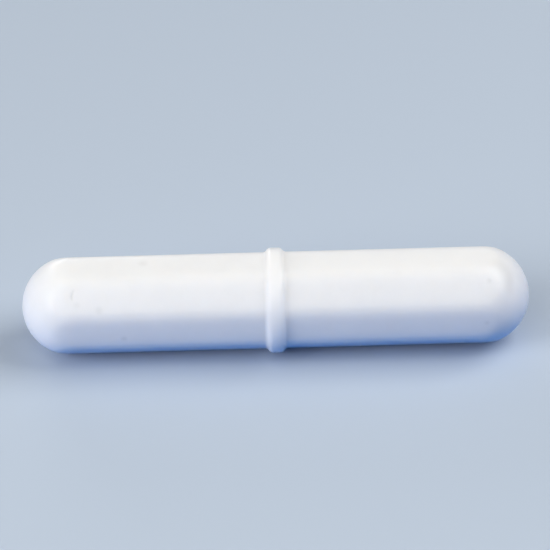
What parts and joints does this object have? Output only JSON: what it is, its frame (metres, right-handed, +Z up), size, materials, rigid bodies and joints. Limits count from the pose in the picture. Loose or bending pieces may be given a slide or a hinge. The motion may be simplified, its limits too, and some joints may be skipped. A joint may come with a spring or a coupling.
{
  "type": "magnetic stir bar",
  "caption": "Octagonal magnetic stir bar with domed ends and a moulded pivot ring round its middle, a bar magnet sealed inside a white PTFE jacket.",
  "frame": {"origin": "on the surface the bar stands on, under the middle of the pivot ring", "axes": "+X along the bar, +Y across it, +Z up; two flats of the octagon face up and down and two face along Y"},
  "size_m": [0.0508, 0.0106, 0.0105],
  "materials": {
    "ptfe": "satin",
    "magnet_alloy": "matte"
  },
  "bodies": {
    "root": {"jacket": "ptfe", "magnet": "magnet_alloy"}
  },
  "joints": []
}
